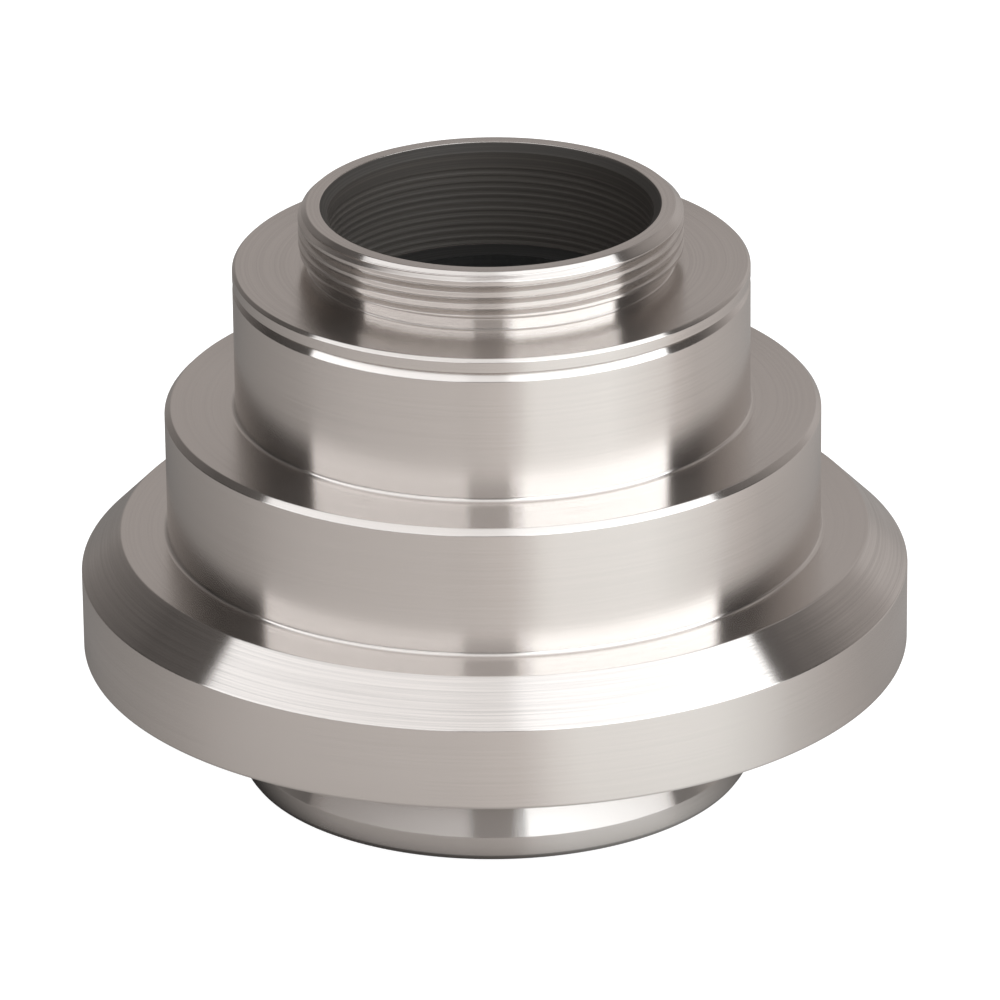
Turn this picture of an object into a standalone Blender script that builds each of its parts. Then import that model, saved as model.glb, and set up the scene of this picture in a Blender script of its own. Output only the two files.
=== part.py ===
"""Microscope camera adapter: a stepped, turned body that drops into the camera port of a
microscope, a screwed-on ring with the camera thread, and the reducing lens in its cell.

Metres, +Z up. The origin is the centre of the foot's lower face, and Z is the optical axis.
All pieces are turned, so each is a profile of (radius, height) points swept by a Screw.
"""

from math import pi, sqrt

import bmesh
import bpy

MM = 0.001

# The foot that the microscope's port takes: a short band under a steep dovetail cone, which
# the port's clamp screws press on.
FOOT_RADIUS = 17.15 * MM
FOOT_BAND_HEIGHT = 1.32 * MM
FOOT_CHAMFER_WIDTH = 0.25 * MM
FOOT_CHAMFER_HEIGHT = 0.36 * MM
DOVETAIL_HEIGHT = 5.4 * MM
FOOT_MOUTH_CHAMFER = 0.4 * MM
NECK_WALL = 2.3 * MM
FOOT_HEIGHT = 8.68 * MM

# The flange that rests on the port, with its 45 degree cone. Round the neck its underside is
# relieved, so that it seats on its outer ring.
FLANGE_RADIUS = 27.6 * MM
FLANGE_WALL_HEIGHT = 5.57 * MM
FLANGE_CONE_LEG = 2.65 * MM
FLANGE_EDGE_BREAK = 0.12 * MM
PORT_RELIEF_DEPTH = 0.3 * MM
PORT_RELIEF_CLEARANCE = 0.6 * MM

# The two steps above it.
LOWER_STEP_RADIUS = 21.8 * MM
LOWER_STEP_HEIGHT = 8.8 * MM
LOWER_STEP_CHAMFER = 0.34 * MM
UPPER_STEP_RADIUS = 17.0 * MM
UPPER_STEP_HEIGHT = 8.9 * MM
UPPER_STEP_CHAMFER = 0.55 * MM
STEP_ROOT_FILLET = 0.2 * MM

# The camera ring: a disc that seats on the upper step, and the camera thread on its boss.
DISC_RADIUS = 17.1 * MM
DISC_HEIGHT = 1.0 * MM
DISC_CHAMFER = 0.2 * MM
CAMERA_THREAD_RADIUS = 12.7 * MM
BOSS_HEIGHT = 4.1 * MM
BOSS_CHAMFER_WIDTH = 0.55 * MM
BOSS_CHAMFER_HEIGHT = 0.5 * MM
BOSS_WALL = 1.95 * MM
RIM_INNER_CHAMFER = 0.53 * MM
RELIEF_DEPTH = 0.65 * MM
RELIEF_HEIGHT = 1.15 * MM
SEAT_CLEARANCE = 0.3 * MM
SEAT_STEP = 0.05 * MM

# The ring's spigot, screwed into the counterbore of the upper step.
COUNTERBORE_WALL = 1.8 * MM
SPIGOT_LENGTH = 4.6 * MM
SPIGOT_CHAMFER = 0.3 * MM
COUNTERBORE_RUNOUT = 0.8 * MM

# The lens cell, held in the ring's fine inner thread by a lock ring.
LOCK_RING_DEPTH = 7.1 * MM
LOCK_RING_HEIGHT = 1.2 * MM
LOCK_RING_WIDTH = 1.9 * MM
CELL_WALL = 0.95 * MM
CELL_CHAMFER = 0.25 * MM
CELL_AIR_GAP = 2.1 * MM
CELL_STOP_WIDTH = 1.2 * MM
CELL_STOP_LENGTH = 9.0 * MM
CELL_LIP = 0.3 * MM
RETAINER_HEIGHT = 1.3 * MM
RETAINER_WIDTH = 1.1 * MM
SPACER_HEIGHT = 2.2 * MM
SPACER_WIDTH = 0.9 * MM
SLOT_WIDTH = 1.2 * MM
SLOT_DEPTH = 0.6 * MM

# The glass: centre thickness, and the radius of each face. A face is positive where its
# middle stands above its edge, negative where it hangs below.
UPPER_CROWN_CENTRE = 4.8 * MM
UPPER_CROWN_TOP = 30.0 * MM
UPPER_CEMENTED_FACE = -24.0 * MM
UPPER_FLINT_CENTRE = 1.5 * MM
UPPER_FLINT_BOTTOM = -80.0 * MM
MIDDLE_CENTRE = 2.6 * MM
MIDDLE_TOP = 30.0 * MM
MIDDLE_BOTTOM = 45.0 * MM
LOWER_FLINT_CENTRE = 1.5 * MM
LOWER_FLINT_TOP = 150.0 * MM
LOWER_CEMENTED_FACE = 30.0 * MM
LOWER_CROWN_CENTRE = 4.2 * MM
LOWER_CROWN_BOTTOM = -40.0 * MM

# Clearances: between faces that seat on each other, in a thread, round a lens in its bore,
# and the cement between two glasses.
SEAT_GAP = 0.05 * MM
THREAD_GAP = 0.15 * MM
LENS_GAP = 0.15 * MM
CEMENT_GAP = 0.05 * MM

# Facets round the pieces that show and round those inside, and chords across a lens face.
OUTER_FACETS = 72
INNER_FACETS = 48
LENS_CHORDS = 4
MERGE = 1e-6

# Radii and heights that follow from the sizes above.
BORE_RADIUS = CAMERA_THREAD_RADIUS - BOSS_WALL
CELL_RADIUS = BORE_RADIUS - THREAD_GAP
CELL_BORE = CELL_RADIUS - CELL_WALL
CELL_STOP_RADIUS = CELL_BORE - CELL_STOP_WIDTH
LENS_RADIUS = CELL_BORE - LENS_GAP
BODY_BORE = CELL_RADIUS + CELL_AIR_GAP
NECK_RADIUS = BODY_BORE + NECK_WALL
COUNTERBORE_RADIUS = UPPER_STEP_RADIUS - COUNTERBORE_WALL
SPIGOT_RADIUS = COUNTERBORE_RADIUS - THREAD_GAP
FLANGE_TOP = FOOT_HEIGHT + FLANGE_WALL_HEIGHT + FLANGE_CONE_LEG
LOWER_STEP_TOP = FLANGE_TOP + LOWER_STEP_HEIGHT
BODY_TOP = LOWER_STEP_TOP + UPPER_STEP_HEIGHT
DISC_TOP = BODY_TOP + DISC_HEIGHT
RIM_TOP = DISC_TOP + BOSS_HEIGHT


def clear_scene():
    """Remove what the startup file holds."""
    for obj in list(bpy.data.objects):
        bpy.data.objects.remove(obj)


def new_collection(name):
    collection = bpy.data.collections.new(name)
    bpy.context.scene.collection.children.link(collection)
    return collection


def material(name, colour, roughness, metallic=0.0, transmission=0.0, ior=1.5):
    """A Principled BSDF in the piece's own finish."""
    made = bpy.data.materials.new(name)
    made.use_nodes = True
    shader = made.node_tree.nodes["Principled BSDF"]
    shader.inputs["Base Color"].default_value = (*colour, 1.0)
    shader.inputs["Roughness"].default_value = roughness
    shader.inputs["Metallic"].default_value = metallic
    shader.inputs["Transmission Weight"].default_value = transmission
    shader.inputs["IOR"].default_value = ior
    return made


def turned(name, profile, finish, facets, closed=True):
    """Sweep a profile of (radius, height) points round Z.

    The profile runs down the outside. A closed one comes back up the bore, and an open one
    starts and ends on the axis.
    """
    mesh = bpy.data.meshes.new(name)
    shape = bmesh.new()
    points = [shape.verts.new((radius, 0.0, height)) for radius, height in profile]
    for first, second in zip(points, points[1:]):
        shape.edges.new((first, second))
    if closed:
        shape.edges.new((points[-1], points[0]))
    shape.to_mesh(mesh)
    shape.free()
    mesh.materials.append(finish)
    obj = bpy.data.objects.new(name, mesh)
    PIECES.objects.link(obj)
    sweep = obj.modifiers.new("Turn", "SCREW")
    sweep.axis = "Z"
    sweep.angle = 2 * pi
    sweep.steps = facets
    sweep.render_steps = facets
    sweep.use_merge_vertices = True
    sweep.merge_threshold = MERGE
    sweep.use_smooth_shade = False
    return obj


def cut_spanner_slots(obj, outer_radius, face_height):
    """Cut the pair of slots that a two-pin spanner turns the ring by."""
    mesh = bpy.data.meshes.new(obj.name + "_slots")
    shape = bmesh.new()
    bmesh.ops.create_cube(shape, size=1.0)
    size = (3 * outer_radius, SLOT_WIDTH, 2 * SLOT_DEPTH)
    bmesh.ops.scale(shape, vec=size, verts=shape.verts)
    shape.to_mesh(mesh)
    shape.free()
    cutter = bpy.data.objects.new(mesh.name, mesh)
    cutter.location = (0.0, 0.0, face_height)
    cutter.hide_render = True
    cutter.display_type = "WIRE"
    CUTTERS.objects.link(cutter)
    cut = obj.modifiers.new("Spanner slots", "BOOLEAN")
    cut.operation = "DIFFERENCE"
    cut.solver = "EXACT"
    cut.object = cutter


def sag(face, radius):
    """How far a spherical face of this signed radius stands from its middle's plane."""
    size = abs(face)
    depth = size - sqrt(size * size - radius * radius)
    return depth if face > 0 else -depth


def face_height(face, edge_height, radius):
    """The height of a lens face at a radius, from the height of its edge."""
    return edge_height + sag(face, LENS_RADIUS) - sag(face, radius)


def edge_thickness(centre, top, bottom):
    return centre - sag(top, LENS_RADIUS) + sag(bottom, LENS_RADIUS)


def lens(name, finish, top, bottom, centre, edge_top):
    """A glass with spherical faces and a ground cylindrical edge."""
    edge_bottom = edge_top - edge_thickness(centre, top, bottom)
    chords = [LENS_RADIUS * step / LENS_CHORDS for step in range(LENS_CHORDS + 1)]
    upper = [(r, face_height(top, edge_top, r)) for r in chords]
    lower = [(r, face_height(bottom, edge_bottom, r)) for r in reversed(chords)]
    turned(name, upper + lower, finish, INNER_FACETS, closed=False)
    return edge_bottom


def flat_ring(name, finish, outer, inner, top, height, facets):
    profile = [(outer, top), (outer, top - height), (inner, top - height), (inner, top)]
    return turned(name, profile, finish, facets)


def adapter_body():
    """The body: foot, dovetail, flange, cone and two steps, turned and bored in one piece."""
    band_top = FOOT_CHAMFER_HEIGHT + FOOT_BAND_HEIGHT
    counterbore_floor = BODY_TOP - SPIGOT_LENGTH - COUNTERBORE_RUNOUT
    mouth_radius = BODY_BORE + FOOT_MOUTH_CHAMFER
    cone_top_radius = FLANGE_RADIUS - FLANGE_CONE_LEG
    cone_foot = FOOT_HEIGHT + FLANGE_WALL_HEIGHT
    relief_radius = FOOT_RADIUS + PORT_RELIEF_CLEARANCE
    relief_roof = FOOT_HEIGHT + PORT_RELIEF_DEPTH
    upper_steps = [
        (COUNTERBORE_RADIUS, BODY_TOP),
        (UPPER_STEP_RADIUS - UPPER_STEP_CHAMFER, BODY_TOP),
        (UPPER_STEP_RADIUS, BODY_TOP - UPPER_STEP_CHAMFER),
        (UPPER_STEP_RADIUS, LOWER_STEP_TOP + STEP_ROOT_FILLET),
        (UPPER_STEP_RADIUS + STEP_ROOT_FILLET, LOWER_STEP_TOP),
        (LOWER_STEP_RADIUS - LOWER_STEP_CHAMFER, LOWER_STEP_TOP),
        (LOWER_STEP_RADIUS, LOWER_STEP_TOP - LOWER_STEP_CHAMFER),
        (LOWER_STEP_RADIUS, FLANGE_TOP + STEP_ROOT_FILLET),
        (LOWER_STEP_RADIUS + STEP_ROOT_FILLET, FLANGE_TOP),
    ]
    flange = [
        (cone_top_radius, FLANGE_TOP),
        (FLANGE_RADIUS, cone_foot),
        (FLANGE_RADIUS, FOOT_HEIGHT + FLANGE_EDGE_BREAK),
        (FLANGE_RADIUS - FLANGE_EDGE_BREAK, FOOT_HEIGHT),
        (relief_radius, FOOT_HEIGHT),
        (relief_radius - PORT_RELIEF_DEPTH, relief_roof),
    ]
    foot = [
        (NECK_RADIUS, relief_roof),
        (NECK_RADIUS, band_top + DOVETAIL_HEIGHT),
        (FOOT_RADIUS, band_top),
        (FOOT_RADIUS, FOOT_CHAMFER_HEIGHT),
        (FOOT_RADIUS - FOOT_CHAMFER_WIDTH, 0.0),
    ]
    bore = [
        (mouth_radius, 0.0),
        (BODY_BORE, FOOT_MOUTH_CHAMFER),
        (BODY_BORE, counterbore_floor),
        (COUNTERBORE_RADIUS, counterbore_floor),
    ]
    turned("adapter_body", upper_steps + flange + foot + bore, STEEL, OUTER_FACETS)


def camera_ring():
    """The camera ring: the threaded boss, the disc that the camera seats on and the spigot."""
    seat = BODY_TOP + SEAT_GAP
    spigot_end = BODY_TOP - SPIGOT_LENGTH
    relief_radius = CAMERA_THREAD_RADIUS - RELIEF_DEPTH
    relief_top = DISC_TOP + RELIEF_HEIGHT
    boss = [
        (BORE_RADIUS + RIM_INNER_CHAMFER, RIM_TOP),
        (CAMERA_THREAD_RADIUS - BOSS_CHAMFER_WIDTH, RIM_TOP),
        (CAMERA_THREAD_RADIUS, RIM_TOP - BOSS_CHAMFER_HEIGHT),
        (CAMERA_THREAD_RADIUS, relief_top),
        (relief_radius, relief_top - RELIEF_DEPTH / 2),
        (relief_radius, DISC_TOP - SEAT_STEP),
    ]
    # The camera seats on the outer part of the disc's top, which clears the thread and stands
    # a hair above the relief's floor.
    disc = [
        (CAMERA_THREAD_RADIUS + SEAT_CLEARANCE, DISC_TOP - SEAT_STEP),
        (CAMERA_THREAD_RADIUS + SEAT_CLEARANCE + SEAT_STEP, DISC_TOP),
        (DISC_RADIUS - DISC_CHAMFER, DISC_TOP),
        (DISC_RADIUS, DISC_TOP - DISC_CHAMFER),
        (DISC_RADIUS, seat),
    ]
    spigot = [
        (SPIGOT_RADIUS, seat),
        (SPIGOT_RADIUS, spigot_end + SPIGOT_CHAMFER),
        (SPIGOT_RADIUS - SPIGOT_CHAMFER, spigot_end),
        (BORE_RADIUS + SPIGOT_CHAMFER, spigot_end),
        (BORE_RADIUS, spigot_end + SPIGOT_CHAMFER),
        (BORE_RADIUS, RIM_TOP - RIM_INNER_CHAMFER),
    ]
    turned("camera_ring", boss + disc + spigot, STEEL, OUTER_FACETS)


def retaining_ring(name, top, slotted_face):
    """A ring screwed into the cell over a lens, with its spanner slots in the outer face."""
    outer = CELL_BORE - THREAD_GAP
    inner = CELL_BORE - RETAINER_WIDTH
    obj = flat_ring(name, BLACK, outer, inner, top, RETAINER_HEIGHT, INNER_FACETS)
    cut_spanner_slots(obj, outer, slotted_face)


def lens_cell_and_glass():
    """The lock ring, the cell and its glass, stacked down from the lock ring's face."""
    lock_top = RIM_TOP - LOCK_RING_DEPTH
    lock_inner = CELL_RADIUS - LOCK_RING_WIDTH
    lock = flat_ring(
        "cell_lock_ring", BLACK, CELL_RADIUS, lock_inner, lock_top, LOCK_RING_HEIGHT, INNER_FACETS
    )
    cut_spanner_slots(lock, CELL_RADIUS, lock_top)

    retainer_inner = CELL_BORE - RETAINER_WIDTH
    cell_top = lock_top - LOCK_RING_HEIGHT - SEAT_GAP
    retainer_top = cell_top - CELL_LIP
    retaining_ring("upper_retaining_ring", retainer_top, retainer_top)

    # The retaining ring's inner corner bears on the crown, which stands proud of its edge.
    crown_rise = face_height(UPPER_CROWN_TOP, 0.0, retainer_inner)
    crown_edge_top = retainer_top - RETAINER_HEIGHT - SEAT_GAP - crown_rise
    crown_edge_bottom = lens(
        "upper_crown_lens", CROWN_GLASS, UPPER_CROWN_TOP, UPPER_CEMENTED_FACE,
        UPPER_CROWN_CENTRE, crown_edge_top,
    )
    flint_edge_bottom = lens(
        "upper_flint_lens", FLINT_GLASS, UPPER_CEMENTED_FACE, UPPER_FLINT_BOTTOM,
        UPPER_FLINT_CENTRE, crown_edge_bottom - CEMENT_GAP,
    )

    # The flint's lower face hangs below its edge, so the seat's corner meets it further in.
    flint_drop = face_height(UPPER_FLINT_BOTTOM, 0.0, CELL_STOP_RADIUS)
    upper_seat = flint_edge_bottom + min(flint_drop, 0.0) - SEAT_GAP
    lower_seat = upper_seat - CELL_STOP_LENGTH
    middle_rise = face_height(MIDDLE_TOP, 0.0, CELL_STOP_RADIUS)
    middle_edge_bottom = lens(
        "middle_lens", CROWN_GLASS, MIDDLE_TOP, MIDDLE_BOTTOM,
        MIDDLE_CENTRE, lower_seat - SEAT_GAP - middle_rise,
    )
    spacer_top = middle_edge_bottom - SEAT_GAP
    spacer_outer = CELL_BORE - LENS_GAP
    spacer_inner = spacer_outer - SPACER_WIDTH
    flat_ring(
        "lens_spacer", BLACK, spacer_outer, spacer_inner, spacer_top, SPACER_HEIGHT, INNER_FACETS
    )
    flint_rise = face_height(LOWER_FLINT_TOP, 0.0, spacer_inner)
    lower_flint_edge_bottom = lens(
        "lower_flint_lens", FLINT_GLASS, LOWER_FLINT_TOP, LOWER_CEMENTED_FACE,
        LOWER_FLINT_CENTRE, spacer_top - SPACER_HEIGHT - SEAT_GAP - flint_rise,
    )
    lower_crown_edge_bottom = lens(
        "lower_crown_lens", CROWN_GLASS, LOWER_CEMENTED_FACE, LOWER_CROWN_BOTTOM,
        LOWER_CROWN_CENTRE, lower_flint_edge_bottom - CEMENT_GAP,
    )
    crown_drop = face_height(LOWER_CROWN_BOTTOM, 0.0, retainer_inner)
    lower_retainer_top = lower_crown_edge_bottom + crown_drop - SEAT_GAP
    lower_retainer_bottom = lower_retainer_top - RETAINER_HEIGHT
    retaining_ring("lower_retaining_ring", lower_retainer_top, lower_retainer_bottom)

    cell_bottom = lower_retainer_bottom - CELL_LIP
    cell = [
        (CELL_RADIUS - CELL_CHAMFER, cell_top),
        (CELL_RADIUS, cell_top - CELL_CHAMFER),
        (CELL_RADIUS, cell_bottom + CELL_CHAMFER),
        (CELL_RADIUS - CELL_CHAMFER, cell_bottom),
        (CELL_BORE, cell_bottom),
        (CELL_BORE, lower_seat),
        (CELL_STOP_RADIUS, lower_seat),
        (CELL_STOP_RADIUS, upper_seat),
        (CELL_BORE, upper_seat),
        (CELL_BORE, cell_top),
    ]
    turned("lens_cell", cell, BLACK, INNER_FACETS)


clear_scene()
PIECES = new_collection("microscope_camera_adapter")
CUTTERS = new_collection("cutters")
STEEL = material("turned_steel", (0.62, 0.6, 0.58), 0.28, metallic=1.0)
BLACK = material("black_anodised", (0.02, 0.019, 0.018), 0.5)
CROWN_GLASS = material("crown_glass", (0.93, 0.98, 0.96), 0.02, transmission=1.0, ior=1.52)
FLINT_GLASS = material("flint_glass", (0.96, 0.97, 0.92), 0.02, transmission=1.0, ior=1.62)

adapter_body()
camera_ring()
lens_cell_and_glass()
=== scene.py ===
"""Looks of a microscope camera adapter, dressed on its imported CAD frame.

The sections follow the adapter as it is put together: the turned body, the camera ring that is
screwed into it, the blackened lens cell inside, and last the floor, the light and the camera.
"""

from math import pi, radians

import bpy
from mathutils import Matrix, Vector


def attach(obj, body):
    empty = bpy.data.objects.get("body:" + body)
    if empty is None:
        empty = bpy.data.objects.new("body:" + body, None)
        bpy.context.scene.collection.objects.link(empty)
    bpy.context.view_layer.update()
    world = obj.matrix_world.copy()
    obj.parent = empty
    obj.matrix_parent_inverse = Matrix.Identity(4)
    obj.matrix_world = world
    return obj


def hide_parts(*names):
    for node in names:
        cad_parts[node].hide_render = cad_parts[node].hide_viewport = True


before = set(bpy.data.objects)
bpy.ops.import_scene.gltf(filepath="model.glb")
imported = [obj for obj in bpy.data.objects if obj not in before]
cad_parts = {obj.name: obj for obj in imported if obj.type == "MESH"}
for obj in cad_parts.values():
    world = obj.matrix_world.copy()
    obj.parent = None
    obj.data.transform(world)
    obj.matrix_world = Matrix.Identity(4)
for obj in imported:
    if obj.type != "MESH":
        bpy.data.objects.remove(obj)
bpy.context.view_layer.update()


# Adapter body. One bar of stainless steel, turned and bored through: foot, dovetail, flange with
# its cone, and two steps. Its corners are broken by a touch of the tool, whose nose leaves a small
# radius at each root, and feed lines run round it, plainest on the cone.

MM = 0.001
FACETS_ROUND = 384
CREASE_ANGLE = 5
LEDGE_SLOPE = 0.5
CONE_SLOPES = (0.6, 0.8)
FLANGE_TOP = 16.8
BODY_SECTION = [
    # radius, height and corner rounding, in millimetres, down the outside and up the bore
    (15.20, 34.60, 0.0),
    (16.72, 34.60, 0.04),
    (17.10, 34.05, 0.04),
    (17.10, 25.70, 0.27),
    (21.42, 25.70, 0.05),
    (21.80, 25.32, 0.05),
    (21.80, 16.90, 0.27),
    (24.95, 16.90, 0.06),
    (27.60, 14.25, 0.06),
    (27.60, 8.68, 0.22),
    (17.75, 8.68, 0.04),
    (17.45, 8.98, 0.04),
    (15.00, 8.98, 0.15),
    (15.00, 7.08, 0.20),
    (17.15, 1.68, 0.05),
    (17.15, 0.36, 0.05),
    (16.90, 0.00, 0.05),
    (13.10, 0.00, 0.05),
    (12.70, 0.40, 0.05),
    (12.70, 29.20, 0.10),
    (15.20, 29.20, 0.10),
]
STEEL_TINT = (0.665, 0.63, 0.605)
COARSE_LINES = 0.14
FINE_LINES = 0.04


def draw_section(name, corners):
    """Draw a closed half section in the XZ plane, corner by corner, and round its corners."""
    bpy.ops.object.select_all(action="DESELECT")
    start = (corners[0][0] * MM, 0.0, corners[0][1] * MM)
    bpy.ops.mesh.primitive_plane_add(size=0.1 * MM, location=start)
    piece = bpy.context.object
    piece.name = name
    piece.data.name = name
    bpy.ops.object.transform_apply(location=True, rotation=True, scale=True)
    bpy.ops.object.mode_set(mode="EDIT")
    bpy.ops.mesh.select_all(action="SELECT")
    bpy.ops.mesh.merge(type="CENTER")
    for before, after in zip(corners, corners[1:]):
        step = ((after[0] - before[0]) * MM, 0.0, (after[1] - before[1]) * MM)
        bpy.ops.mesh.extrude_region_move(TRANSFORM_OT_translate={"value": step})
    pick_corners(piece, [corners[0], corners[-1]])
    bpy.ops.mesh.edge_face_add()
    for rounding in sorted({corner[2] for corner in corners if corner[2] > 0}):
        pick_corners(piece, [corner for corner in corners if corner[2] == rounding])
        segments = 6 if rounding > 0.15 else 3
        bpy.ops.mesh.bevel(offset=rounding * MM, segments=segments, affect="VERTICES")
    bpy.ops.object.mode_set(mode="OBJECT")
    return piece


def pick_corners(piece, corners):
    """Select only the vertices that lie at these corners, and stay in edit mode."""
    bpy.ops.mesh.select_mode(type="VERT")
    bpy.ops.mesh.select_all(action="DESELECT")
    bpy.ops.object.mode_set(mode="OBJECT")
    for vertex in piece.data.vertices:
        for radius, height, _ in corners:
            near_radius = abs(vertex.co.x - radius * MM) < 1e-6
            near_height = abs(vertex.co.z - height * MM) < 1e-6
            if near_radius and near_height:
                vertex.select = True
    bpy.ops.object.mode_set(mode="EDIT")


def spin_section(piece, steps):
    """Turn the drawn section all the way round Z and weld the seam."""
    bpy.ops.object.mode_set(mode="EDIT")
    bpy.ops.mesh.select_all(action="SELECT")
    bpy.ops.mesh.spin(steps=steps, angle=2 * pi, center=(0, 0, 0), axis=(0, 0, 1))
    bpy.ops.mesh.select_all(action="SELECT")
    bpy.ops.mesh.remove_doubles(threshold=1e-6)
    bpy.ops.mesh.normals_make_consistent(inside=False)
    bpy.ops.object.mode_set(mode="OBJECT")


def smooth_round(piece, degrees):
    """Shade the turned faces smooth and keep every corner crisp."""
    bpy.ops.object.select_all(action="DESELECT")
    piece.select_set(True)
    bpy.context.view_layer.objects.active = piece
    bpy.ops.object.shade_smooth_by_angle(angle=radians(degrees))


def add_node(tree, kind, **settings):
    """A new node with its settings."""
    node = tree.nodes.new(kind)
    for key, value in settings.items():
        setattr(node, key, value)
    return node


def number(tree, operation, *values):
    """A Math node. Each value is a number or another node's output."""
    node = add_node(tree, "ShaderNodeMath", operation=operation)
    for socket, value in zip(node.inputs, values):
        if isinstance(value, (int, float)):
            socket.default_value = value
        else:
            tree.links.new(value, socket)
    return node.outputs[0]


def spread(tree, value, from_low, from_high, to_low, to_high):
    """A Map Range node, clamped."""
    node = add_node(tree, "ShaderNodeMapRange", clamp=True)
    tree.links.new(value, node.inputs["Value"])
    node.inputs["From Min"].default_value = from_low
    node.inputs["From Max"].default_value = from_high
    node.inputs["To Min"].default_value = to_low
    node.inputs["To Max"].default_value = to_high
    return node.outputs["Result"]


def feed_lines(tree, pitch, drift):
    """Noise that depends on radius and height, so that it lies in rings as tool marks do.

    Drift lets a line grow fainter and stronger again on its way round the piece.
    """
    place = add_node(tree, "ShaderNodeTexCoord").outputs["Object"]
    axes = add_node(tree, "ShaderNodeSeparateXYZ")
    tree.links.new(place, axes.inputs[0])
    across = number(tree, "MULTIPLY", axes.outputs["X"], axes.outputs["X"])
    along = number(tree, "MULTIPLY", axes.outputs["Y"], axes.outputs["Y"])
    radius = number(tree, "SQRT", number(tree, "ADD", across, along))
    rings = add_node(tree, "ShaderNodeCombineXYZ")
    tree.links.new(number(tree, "DIVIDE", radius, pitch * MM), rings.inputs["X"])
    tree.links.new(number(tree, "DIVIDE", axes.outputs["Z"], pitch * MM), rings.inputs["Y"])
    tree.links.new(number(tree, "MULTIPLY", axes.outputs["X"], drift), rings.inputs["Z"])
    noise = add_node(tree, "ShaderNodeTexNoise")
    noise.inputs["Scale"].default_value = 1.0
    noise.inputs["Detail"].default_value = 2.0
    noise.inputs["Roughness"].default_value = 0.6
    tree.links.new(rings.outputs[0], noise.inputs["Vector"])
    return noise.outputs["Fac"]


def new_finish(name):
    """A material with its Principled shader, ready for nodes."""
    finish = bpy.data.materials.new(name)
    finish.use_nodes = True
    return finish, finish.node_tree, finish.node_tree.nodes["Principled BSDF"]


def turned_steel(name, tint, roughness, mark_depth, streak, ragged):
    """Bright turned steel: reflections smear across the feed lines and stay sharp along them.

    Streak is how bright the dullest lines stay, ragged how much the roughness changes with them.
    """
    finish, tree, shader = new_finish(name)
    coarse = feed_lines(tree, COARSE_LINES, drift=60.0)
    fine = feed_lines(tree, FINE_LINES, drift=90.0)
    shade = add_node(tree, "ShaderNodeMix", data_type="RGBA")
    shade.inputs["A"].default_value = (*(streak * part for part in tint), 1.0)
    shade.inputs["B"].default_value = (*tint, 1.0)
    tree.links.new(spread(tree, coarse, 0.35, 0.6, 0.0, 1.0), shade.inputs["Factor"])
    tree.links.new(shade.outputs["Result"], shader.inputs["Base Color"])
    dull = spread(tree, coarse, 0.3, 0.7, roughness + 1.5 * ragged, roughness - ragged)
    tree.links.new(dull, shader.inputs["Roughness"])
    relief = number(tree, "MULTIPLY_ADD", coarse, 2.0, fine)
    bump = add_node(tree, "ShaderNodeBump")
    bump.inputs["Strength"].default_value = 1.0
    bump.inputs["Distance"].default_value = mark_depth * MM
    tree.links.new(relief, bump.inputs["Height"])
    tree.links.new(bump.outputs["Normal"], shader.inputs["Normal"])
    round_axis = add_node(tree, "ShaderNodeTangent", direction_type="RADIAL", axis="Z")
    tree.links.new(round_axis.outputs["Tangent"], shader.inputs["Tangent"])
    shader.inputs["Metallic"].default_value = 1.0
    shader.inputs["Anisotropic"].default_value = 1.0
    shader.inputs["Anisotropic Rotation"].default_value = 0.25
    return finish


steel = turned_steel("turned_steel", STEEL_TINT, 0.195, 0.0001, 0.98, 0.01)
faced_steel = turned_steel("faced_steel", STEEL_TINT, 0.165, 0.0006, 0.97, 0.01)
cone_steel = turned_steel("cone_steel", STEEL_TINT, 0.165, 0.0006, 0.88, 0.035)

body = draw_section("turned_body", BODY_SECTION)
spin_section(body, FACETS_ROUND)
body.data.materials.append(steel)
body.data.materials.append(faced_steel)
body.data.materials.append(cone_steel)
for face in body.data.polygons:
    slope = face.normal.z
    if CONE_SLOPES[0] < slope < CONE_SLOPES[1] and face.center.z < FLANGE_TOP * MM:
        face.material_index = 2
    else:
        face.material_index = 1 if slope > LEDGE_SLOPE else 0
smooth_round(body, CREASE_ANGLE)
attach(body, "root")
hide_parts("adapter_body")


# Camera ring. The second turned piece, screwed down on the upper step: a thin disc with a
# chamfered edge, and a boss with the 25.4 mm, 32 turns to the inch camera thread over a relief
# groove. Its bore has a fine thread for the lens cell and is blackened against stray light.

RING_SECTION = [
    (11.28, 39.70, 0.04),
    (12.15, 39.70, 0.04),
    (12.70, 39.20, 0.03),
    (12.70, 36.75, 0.03),
    (12.05, 36.42, 0.10),
    (12.05, 35.60, 0.12),
    (16.90, 35.60, 0.04),
    (17.10, 35.40, 0.04),
    (17.10, 34.67, 0.04),
    (15.05, 34.67, 0.04),
    (15.05, 30.30, 0.04),
    (14.75, 30.00, 0.04),
    (10.91, 30.00, 0.04),
    (10.61, 30.30, 0.04),
    (10.61, 31.20, 0.0),
    (10.75, 31.34, 0.0),
    (10.75, 39.17, 0.03),
]
CAMERA_THREAD_PITCH = 25.4 / 32
CAMERA_THREAD_TURNS = 5
CELL_THREAD_PITCH = 0.5
CELL_THREAD_TURNS = 12
BORE_REACH = 11.03
FIRST_CREST = 35.8
UNDERSIDE_SLOPE = -0.3


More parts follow.
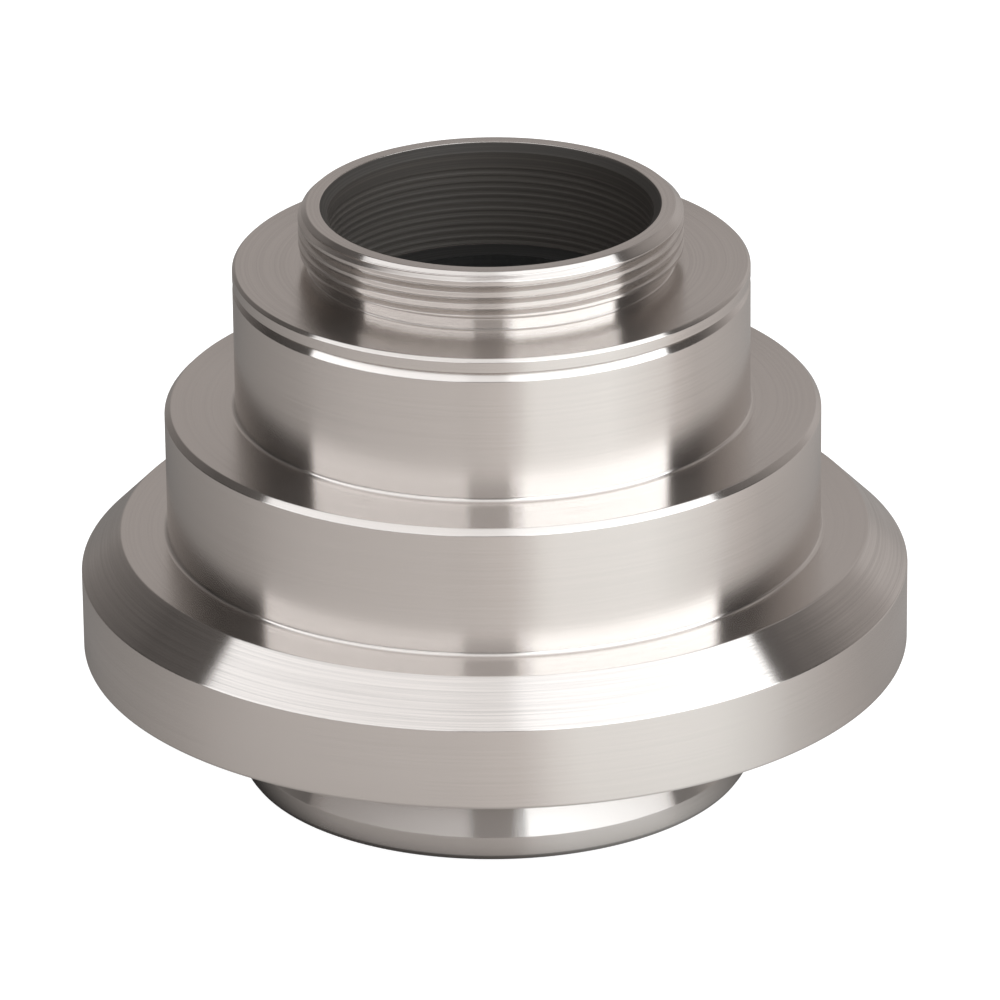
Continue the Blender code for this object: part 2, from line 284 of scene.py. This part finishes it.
def thread_cutter(name, groove, pitch, turns, steps):
    """A groove's cross section wound up round Z, closed at both ends."""
    cutter = draw_section(name, groove)
    wind = cutter.modifiers.new("Wind", "SCREW")
    wind.axis = "Z"
    wind.angle = 2 * pi
    wind.screw_offset = pitch * MM
    wind.iterations = turns
    wind.steps = steps
    wind.render_steps = steps
    wind.use_merge_vertices = False
    bpy.ops.object.modifier_apply(modifier=wind.name)
    bpy.ops.object.mode_set(mode="EDIT")
    bpy.ops.mesh.select_all(action="SELECT")
    bpy.ops.mesh.fill_holes(sides=0)
    bpy.ops.mesh.select_all(action="SELECT")
    bpy.ops.mesh.normals_make_consistent(inside=False)
    bpy.ops.object.mode_set(mode="OBJECT")
    return cutter


def cut_away(piece, cutter):
    """Take the cutter's shape out of the piece, then throw the cutter away."""
    bpy.ops.object.select_all(action="DESELECT")
    piece.select_set(True)
    bpy.context.view_layer.objects.active = piece
    cut = piece.modifiers.new("Cut", "BOOLEAN")
    cut.operation = "DIFFERENCE"
    cut.solver = "EXACT"
    cut.object = cutter
    bpy.ops.object.modifier_apply(modifier=cut.name)
    bpy.data.objects.remove(cutter)


ring = draw_section("threaded_camera_ring", RING_SECTION)
spin_section(ring, FACETS_ROUND)

# The camera thread: a 60 degree groove with a small flat root that leaves crests a quarter of a
# millimetre wide with a broken lower edge. It starts in the relief, at the back, and runs off
# the boss's top.
CAMERA_GROOVE = [
    (12.98, 35.66, 0.0),
    (12.70, 35.66, 0.0),
    (12.68, 35.675, 0.0),
    (12.345, 35.875, 0.0),
    (12.325, 35.905, 0.0),
    (12.345, 35.935, 0.0),
    (12.60, 36.085, 0.0),
    (12.676, 36.14, 0.0),
    (12.70, 36.24, 0.0),
    (12.98, 36.24, 0.0),
]
outer_cutter = thread_cutter(
    "camera_thread", CAMERA_GROOVE, CAMERA_THREAD_PITCH, CAMERA_THREAD_TURNS, steps=144
)
outer_cutter.rotation_euler.z = pi / 2
cut_away(ring, outer_cutter)

# The cell's thread: shallow and fine, from the mouth down to the lock ring.
CELL_GROOVE = [
    (10.60, 32.00, 0.0),
    (10.60, 32.44, 0.0),
    (10.745, 32.44, 0.0),
    (10.778, 32.33, 0.0),
    (10.788, 32.22, 0.0),
    (10.778, 32.11, 0.0),
    (10.745, 32.00, 0.0),
]
inner_cutter = thread_cutter(
    "cell_thread", CELL_GROOVE, CELL_THREAD_PITCH, CELL_THREAD_TURNS, steps=96
)
cut_away(ring, inner_cutter)


def blackened(name, colour, roughness, ring_pitch):
    """A black chemical finish on turned metal: dull, a little brown, thin along the tool marks."""
    finish, tree, shader = new_finish(name)
    lines = feed_lines(tree, ring_pitch, drift=40.0)
    shade = add_node(tree, "ShaderNodeMix", data_type="RGBA")
    shade.inputs["A"].default_value = (*colour, 1.0)
    shade.inputs["B"].default_value = (*(1.6 * part for part in colour), 1.0)
    tree.links.new(spread(tree, lines, 0.45, 0.75, 0.0, 1.0), shade.inputs["Factor"])
    tree.links.new(shade.outputs["Result"], shader.inputs["Base Color"])
    dull = spread(tree, lines, 0.3, 0.7, roughness + 0.08, roughness - 0.06)
    tree.links.new(dull, shader.inputs["Roughness"])
    bump = add_node(tree, "ShaderNodeBump")
    bump.inputs["Strength"].default_value = 0.4
    bump.inputs["Distance"].default_value = 0.006 * MM
    tree.links.new(lines, bump.inputs["Height"])
    tree.links.new(bump.outputs["Normal"], shader.inputs["Normal"])
    shader.inputs["Specular IOR Level"].default_value = 0.4
    return finish


bore_black = blackened("blackened_bore", (0.044, 0.038, 0.033), 0.66, 0.12)
# The upward faces in the bore, the mouth's chamfer and the step under the cell thread, take a darker
# black: painted shade against the extra light they catch.
shaded_mouth_finish = blackened("painted_shade_mouth", (0.026, 0.0225, 0.0195), 0.7, 0.12)

# The face that a camera seats on is finished finer than the steps. The die leaves the undersides of
# the crests rougher, and their darker tint is painted shade.
seat_steel = turned_steel("seat_steel", STEEL_TINT, 0.155, 0.0003, 0.94, 0.01)
shaded_flank_finish = turned_steel("shaded_flank_finish", (0.61, 0.578, 0.555), 0.25, 0.0001, 0.98, 0.01)

ring.data.materials.clear()
ring.data.materials.append(steel)
ring.data.materials.append(bore_black)
ring.data.materials.append(seat_steel)
ring.data.materials.append(shaded_flank_finish)
ring.data.materials.append(shaded_mouth_finish)
for face in ring.data.polygons:
    in_bore = Vector(face.center[:2]).length < BORE_REACH * MM
    faced = face.normal.z > LEDGE_SLOPE
    under_crest = face.normal.z < UNDERSIDE_SLOPE and face.center.z > FIRST_CREST * MM
    if in_bore:
        # Upward faces in the bore take the darker black, painted shade.
        face.material_index = 4 if faced else 1
    elif faced:
        face.material_index = 2
    else:
        # Undersides of the crests take the darker steel: painted shade.
        face.material_index = 3 if under_crest else 0
smooth_round(ring, CREASE_ANGLE)
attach(ring, "root")
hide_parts("camera_ring")


# Lens cell and its rings. Aluminium, anodised black: the cell that screws up into the camera
# ring, the slotted lock ring over it, a slotted retaining ring at each end and the spacer.
# Their CAD meshes have the right shape, so they only take the finish.

anodised = blackened("black_anodised", (0.014, 0.0135, 0.013), 0.38, 0.2)
for name in (
    "cell_lock_ring",
    "lens_cell",
    "upper_retaining_ring",
    "lens_spacer",
    "lower_retaining_ring",
):
    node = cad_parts[name]
    for holder in node.material_slots:
        holder.material = anodised


# Lenses. Two cemented pairs and a meniscus, of crown and flint glass, polished and given an
# anti-reflection coating that leaves a faint green or violet sheen.


def coated_glass(name, tint, sheen, index):
    """Clear glass whose coating shows as a sheen where it is seen edge on."""
    finish, tree, shader = new_finish(name)
    edge = add_node(tree, "ShaderNodeLayerWeight")
    edge.inputs["Blend"].default_value = 0.35
    body_tint = add_node(tree, "ShaderNodeMix", data_type="RGBA")
    body_tint.inputs["A"].default_value = (*tint, 1.0)
    body_tint.inputs["B"].default_value = (*sheen, 1.0)
    tree.links.new(edge.outputs["Facing"], body_tint.inputs["Factor"])
    tree.links.new(body_tint.outputs["Result"], shader.inputs["Base Color"])
    shader.inputs["Roughness"].default_value = 0.01
    shader.inputs["Transmission Weight"].default_value = 1.0
    shader.inputs["IOR"].default_value = index
    return finish


crown = coated_glass("crown_glass", (0.96, 0.99, 0.97), (0.80, 0.95, 0.84), 1.52)
flint = coated_glass("flint_glass", (0.97, 0.97, 0.94), (0.88, 0.82, 0.94), 1.62)
for name, glass in (
    ("upper_crown_lens", crown),
    ("upper_flint_lens", flint),
    ("middle_lens", crown),
    ("lower_flint_lens", flint),
    ("lower_crown_lens", crown),
):
    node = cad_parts[name]
    for holder in node.material_slots:
        holder.material = glass


# Floor. A plain white sheet, lit from below as well. What the steel mirrors in its place is a
# white card, brighter on the side of the main lamp and dim under the flange.

FLOOR_RADIUS = 1400
FLOOR_DROP = 0.4
CARD_RADIUS = 400
CARD_DROP = 0.2
PAPER_WHITE = 0.97

bpy.ops.object.select_all(action="DESELECT")
bpy.ops.mesh.primitive_circle_add(vertices=96, radius=FLOOR_RADIUS * MM, fill_type="NGON")
floor = bpy.context.object
floor.name = "floor"
floor.location.z = -FLOOR_DROP * MM
floor_white, floor_tree, floor_shader = new_finish("white_floor")
floor_shader.inputs["Base Color"].default_value = (0.30, 0.30, 0.30, 1.0)
floor_shader.inputs["Roughness"].default_value = 0.9
floor_shader.inputs["Specular IOR Level"].default_value = 0.1
floor_shader.inputs["Emission Color"].default_value = (1.0, 1.0, 1.0, 1.0)
floor_shader.inputs["Emission Strength"].default_value = PAPER_WHITE
floor.data.materials.append(floor_white)
floor.visible_glossy = False


def blend_values(tree, share, low, high):
    """low where share is 0, high where it is 1."""
    node = add_node(tree, "ShaderNodeMix", data_type="FLOAT")
    wanted = {"Factor": share, "A": low, "B": high}
    for key, value in wanted.items():
        socket = node.inputs[key]
        if isinstance(value, (int, float)):
            socket.default_value = value
        else:
            tree.links.new(value, socket)
    return node.outputs["Result"]


def value_curve(tree, value, points):
    """A ramp through (value, level) points, straight between them."""
    low = points[0][0]
    high = points[-1][0]
    top = max(level for _, level in points)
    ramp = add_node(tree, "ShaderNodeValToRGB")
    stops = ramp.color_ramp.elements
    while len(stops) < len(points):
        stops.new(0.5)
    for stop, (at, level) in zip(stops, points):
        stop.position = (at - low) / (high - low)
        stop.color = (level / top, level / top, level / top, 1.0)
    tree.links.new(spread(tree, value, low, high, 0.0, 1.0), ramp.inputs["Fac"])
    return number(tree, "MULTIPLY", ramp.outputs["Color"], top)


bpy.ops.object.select_all(action="DESELECT")
bpy.ops.mesh.primitive_circle_add(vertices=96, radius=CARD_RADIUS * MM, fill_type="NGON")
card = bpy.context.object
card.name = "mirror_card"
card.location.z = -CARD_DROP * MM
card_white, card_tree, card_shader = new_finish("white_card")
card_tree.nodes.remove(card_shader)
card_place = add_node(card_tree, "ShaderNodeTexCoord")
card_axes = add_node(card_tree, "ShaderNodeSeparateXYZ")
card_tree.links.new(card_place.outputs["Object"], card_axes.inputs[0])
from_front = number(card_tree, "MULTIPLY", card_axes.outputs["Y"], -1.0)
card_turn = number(card_tree, "ARCTAN2", card_axes.outputs["X"], from_front)
card_turn = number(card_tree, "MULTIPLY", card_turn, 180 / pi)
CARD_LIGHT = [
    # turn round the axis in degrees, 0 at the front and positive to the right, and brightness
    (-180, 0.345),
    (-150, 0.235),
    (-98, 0.45),
    (-56, 0.64),
    (-12, 0.735),
    (4, 0.84),
    (18, 1.10),
    (48, 1.18),
    (76, 0.95),
    (94, 0.69),
    (146, 0.43),
    (180, 0.345),
]
card_light = value_curve(card_tree, card_turn, CARD_LIGHT)

# Under the flange it is dim, more so on the left. The curves below go by the distance from the
# axis in millimetres.
SHADE_SHIFT = 0.9
from_shade = add_node(card_tree, "ShaderNodeVectorMath", operation="ADD")
from_shade.inputs[1].default_value = (SHADE_SHIFT * MM, 0.0, 0.0)
card_tree.links.new(card_place.outputs["Object"], from_shade.inputs[0])
shade_radius = add_node(card_tree, "ShaderNodeVectorMath", operation="LENGTH")
card_tree.links.new(from_shade.outputs[0], shade_radius.inputs[0])
reach = number(card_tree, "DIVIDE", shade_radius.outputs["Value"], MM)
UNDER_FLANGE = [(0, 0.02), (17, 0.1), (18.5, 0.43), (20.5, 0.66), (35, 0.6), (43, 0.93), (90, 1)]
under_flange = value_curve(card_tree, reach, UNDER_FLANGE)

# Close to the object it is dimmer at both sides, and on the right it has a broad dim ring.
NEAR_SIDE = [(0, 0.28), (17, 0.3), (22, 0.42), (30, 0.8), (40, 0.95), (50, 0.81), (60, 0.81), (70, 1)]
near_side = value_curve(card_tree, reach, NEAR_SIDE)
aside = number(card_tree, "ABSOLUTE", card_turn)
aside = value_curve(card_tree, aside, [(0, 0), (45, 0), (85, 1), (180, 1)])
beside = blend_values(card_tree, aside, 1.0, near_side)
NEAR_RIGHT = [(0, 1), (30, 0.8), (46, 0.74), (58, 0.79), (66, 1)]
near_right = value_curve(card_tree, reach, NEAR_RIGHT)
ON_RIGHT = [(-180, 0.4), (-110, 0.2), (-70, 0), (35, 0), (75, 1), (100, 0.7), (130, 0.3), (180, 0.4)]
on_right = value_curve(card_tree, card_turn, ON_RIGHT)
to_right = blend_values(card_tree, on_right, 1.0, near_right)
card_strength = number(card_tree, "MULTIPLY", card_light, under_flange)
card_strength = number(card_tree, "MULTIPLY", card_strength, beside)
card_strength = number(card_tree, "MULTIPLY", card_strength, to_right)

# The dimmer parts are a little brown.
card_glow = add_node(card_tree, "ShaderNodeEmission")
card_tone = add_node(card_tree, "ShaderNodeMix", data_type="RGBA")
card_tone.inputs["A"].default_value = (1.0, 0.95, 0.915, 1.0)
card_tone.inputs["B"].default_value = (1.0, 1.0, 0.98, 1.0)
bright_part = spread(card_tree, card_light, 0.85, 1.15, 0.0, 1.0)
card_tree.links.new(bright_part, card_tone.inputs["Factor"])
card_tree.links.new(card_tone.outputs["Result"], card_glow.inputs["Color"])
card_tree.links.new(card_strength, card_glow.inputs["Strength"])
card_output = card_tree.nodes["Material Output"]
card_tree.links.new(card_glow.outputs[0], card_output.inputs["Surface"])
card.data.materials.append(card_white)
card.visible_camera = False
card.visible_diffuse = False
card.visible_shadow = False
card.visible_transmission = False


# Light. A white studio tent: a broad diffuser on each side of the camera with a gap between
# them where the lens looks through, white overhead, open at the very top, a black strip behind
# each diffuser and a grey backdrop. The right-hand diffuser is the brighter one.

scene = bpy.context.scene
world = bpy.data.worlds.new("studio_tent")
scene.world = world
world.use_nodes = True
tent = world.node_tree
tent.nodes.clear()
way = add_node(tent, "ShaderNodeTexCoord").outputs["Generated"]
way_axes = add_node(tent, "ShaderNodeSeparateXYZ")
tent.links.new(way, way_axes.inputs[0])
towards_camera = number(tent, "MULTIPLY", way_axes.outputs["Y"], -1.0)
turn = number(tent, "ARCTAN2", way_axes.outputs["X"], towards_camera)
turn = number(tent, "MULTIPLY", turn, 180 / pi)
side_turn = number(tent, "ABSOLUTE", turn)
rise = way_axes.outputs["Z"]

# Brightness of each diffuser. Every curve by rise goes by the sine of the height above the
# horizon, and every curve by turn by degrees round the axis, as on the card.
LEFT_DIFFUSER = [(-1, 0.3), (0.33, 0.3), (0.38, 2.05), (0.42, 3.0), (0.6, 1.4), (0.9, 1.22), (1, 1.1)]
RIGHT_DIFFUSER = [(-1, 1.0), (0.0, 1.0), (0.3, 1.5), (0.4, 4.8), (0.6, 2.1), (1, 1.45)]
left_level = value_curve(tent, rise, LEFT_DIFFUSER)
right_level = value_curve(tent, rise, RIGHT_DIFFUSER)
RIGHT_SHARE = [(-180, 0.5), (-140, 0), (5, 0), (14, 1), (140, 1), (180, 0.5)]
right_share = value_curve(tent, turn, RIGHT_SHARE)
diffuser = blend_values(tent, right_share, left_level, right_level)

# The gap for the lens: dark from the horizon to halfway up, a little wider low down.
GAP_FROM = [(-1, 14), (0.34, 14), (0.38, 11.3), (1, 11)]
GAP_TO = [(-1, 12.3), (0.34, 12.3), (0.38, 8), (0.42, 7), (1, 7)]
GAP_DEPTH = [(-1, 1), (0.5, 1), (0.7, 0.1), (1, 0)]
gap_from = value_curve(tent, rise, GAP_FROM)
gap_start = spread(tent, number(tent, "ADD", turn, gap_from), -0.6, 0.6, 0.0, 1.0)
gap_to = value_curve(tent, rise, GAP_TO)
gap_end = spread(tent, number(tent, "SUBTRACT", turn, gap_to), -0.6, 1.4, 1.0, 0.0)
gap_depth = value_curve(tent, rise, GAP_DEPTH)
gap = number(tent, "MULTIPLY", number(tent, "MULTIPLY", gap_start, gap_end), gap_depth)
IN_GAP = [(-1, 0.12), (0.25, 0.13), (0.34, 0.17), (0.4, 0.94), (0.9, 0.9), (1, 1.3)]
in_gap = value_curve(tent, rise, IN_GAP)
front = blend_values(tent, gap, diffuser, in_gap)

# Behind the diffusers: the black strip, wider higher up, then the backdrop.
EDGE_TURN = [(-1, 89), (0.14, 89), (0.39, 86.5), (0.66, 100.5), (0.8, 117), (1, 140)]
edge_turn = value_curve(tent, rise, EDGE_TURN)
RIGHT_SHIFT = [(-1, 6), (0.2, 6), (0.4, 4), (1, 4)]
right_shift = value_curve(tent, rise, RIGHT_SHIFT)
edge_turn = number(tent, "SUBTRACT", edge_turn, number(tent, "MULTIPLY", right_share, right_shift))
past_edge = number(tent, "SUBTRACT", side_turn, edge_turn)
BACKDROP = [(-180, 0.41), (-150, 0.34), (-90, 0.32), (90, 0.6), (140, 0.6), (165, 0.45), (180, 0.41)]
backdrop = value_curve(tent, turn, BACKDROP)
LEFT_WIDTH = [(-1, 34), (0.14, 34), (0.35, 38), (1, 40)]
RIGHT_WIDTH = [(-1, 15), (0.14, 15), (0.34, 33), (0.4, 27), (1, 27)]
left_width = value_curve(tent, rise, LEFT_WIDTH)
right_width = value_curve(tent, rise, RIGHT_WIDTH)
strip_width = blend_values(tent, right_share, left_width, right_width)
across_strip = number(tent, "DIVIDE", past_edge, strip_width)
LOW_STRIP = [(0, 0.0), (0.75, 0.03), (1.5, 0.5), (2.6, 0.9), (4, 1.0)]
LEFT_STRIP = [(0, 0.0), (0.9, 0.03), (1.4, 0.9), (4, 1.0)]
RIGHT_STRIP = [(0, 0.0), (0.4, 0.03), (1.4, 0.9), (4, 1.0)]
low_strip = value_curve(tent, across_strip, LOW_STRIP)
left_strip = value_curve(tent, across_strip, LEFT_STRIP)
right_strip = value_curve(tent, across_strip, RIGHT_STRIP)
high_strip = blend_values(tent, right_share, left_strip, right_strip)
strip = blend_values(tent, spread(tent, rise, 0.5, 0.7, 0.0, 1.0), low_strip, high_strip)
IN_STRIP = [(-1, 0.02), (0.15, 0.02), (0.33, 0.06), (0.45, 0.11), (1, 0.15)]
in_strip = value_curve(tent, rise, IN_STRIP)
behind = number(tent, "MULTIPLY_ADD", backdrop, strip, in_strip)
inside = spread(tent, past_edge, -0.6, 0.6, 1.0, 0.0)
round_about = blend_values(tent, inside, behind, front)

# White overhead, brighter on the right.
overhead = spread(tent, rise, 0.80, 0.97, 0.0, 1.0)
overhead_level = blend_values(tent, right_share, 1.22, 1.52)
tent_light = blend_values(tent, overhead, round_about, overhead_level)

# The tent's open top, which draws a dark line under the bright one at each root.
open_top = spread(tent, rise, 0.985, 0.993, 0.0, 1.0)
tent_light = blend_values(tent, open_top, tent_light, 0.5)

# A dark band across the tent's back, between 35 and 60 degrees up.
at_back = spread(tent, side_turn, 135.0, 155.0, 0.0, 1.0)
BAND = [(-1, 1), (0.5, 1), (0.6, 0.2), (0.84, 0.2), (0.9, 1), (1, 1)]
back_band = blend_values(tent, at_back, 1.0, value_curve(tent, rise, BAND))
tent_light = number(tent, "MULTIPLY", tent_light, back_band)

# The key lamp stands on the right, which shows only on what is dull.
KEY_SIDE = [(-180, 0.7), (-100, 0.4), (-20, 0.65), (30, 1.35), (90, 1.7), (180, 0.7)]
key_light = number(tent, "MULTIPLY", tent_light, value_curve(tent, turn, KEY_SIDE))
seen = add_node(tent, "ShaderNodeLightPath")
lit = blend_values(tent, seen.outputs["Is Diffuse Ray"], tent_light, key_light)
shown = blend_values(tent, seen.outputs["Is Camera Ray"], lit, PAPER_WHITE)

# What isn't lit is a little brown, and the brightest light is a little blue.
warm_tone = add_node(tent, "ShaderNodeMix", data_type="RGBA")
warm_tone.inputs["A"].default_value = (1.0, 0.93, 0.89, 1.0)
warm_tone.inputs["B"].default_value = (1.0, 1.015, 1.03, 1.0)
tent.links.new(spread(tent, tent_light, 0.4, 1.4, 0.0, 1.0), warm_tone.inputs["Factor"])
tone = add_node(tent, "ShaderNodeMix", data_type="RGBA")
tent.links.new(warm_tone.outputs["Result"], tone.inputs["A"])
tone.inputs["B"].default_value = (1.0, 1.1, 1.15, 1.0)
tent.links.new(spread(tent, tent_light, 3.0, 4.4, 0.0, 1.0), tone.inputs["Factor"])
tone_shown = add_node(tent, "ShaderNodeMix", data_type="RGBA")
tent.links.new(seen.outputs["Is Camera Ray"], tone_shown.inputs["Factor"])
tent.links.new(tone.outputs["Result"], tone_shown.inputs["A"])
tone_shown.inputs["B"].default_value = (1.0, 1.0, 1.0, 1.0)
glow = add_node(tent, "ShaderNodeBackground")
tent.links.new(tone_shown.outputs["Result"], glow.inputs["Color"])
tent.links.new(shown, glow.inputs["Strength"])
world_output = add_node(tent, "ShaderNodeOutputWorld")
tent.links.new(glow.outputs[0], world_output.inputs["Surface"])
scene.view_settings.view_transform = "Standard"


# Camera. A long lens half a metre off, 23 degrees above the horizon, its axis a little above
# the middle of the flange, turned by two thirds of a degree.

CAMERA_PLACE = Vector((0.0, -519.66, 243.03)) * MM
AIM = Vector((0.404, 0.0, 18.437)) * MM
CAMERA_ROLL = -0.636

lens = bpy.data.cameras.new("camera")
lens.lens = 305.54
lens.sensor_width = 36.0
lens.clip_start = 0.05
lens.clip_end = 20.0
camera = bpy.data.objects.new("camera", lens)
scene.collection.objects.link(camera)
facing = (AIM - CAMERA_PLACE).to_track_quat("-Z", "Y").to_matrix().to_4x4()
roll = Matrix.Rotation(radians(CAMERA_ROLL), 4, "Z")
camera.matrix_world = Matrix.Translation(CAMERA_PLACE) @ facing @ roll
scene.camera = camera
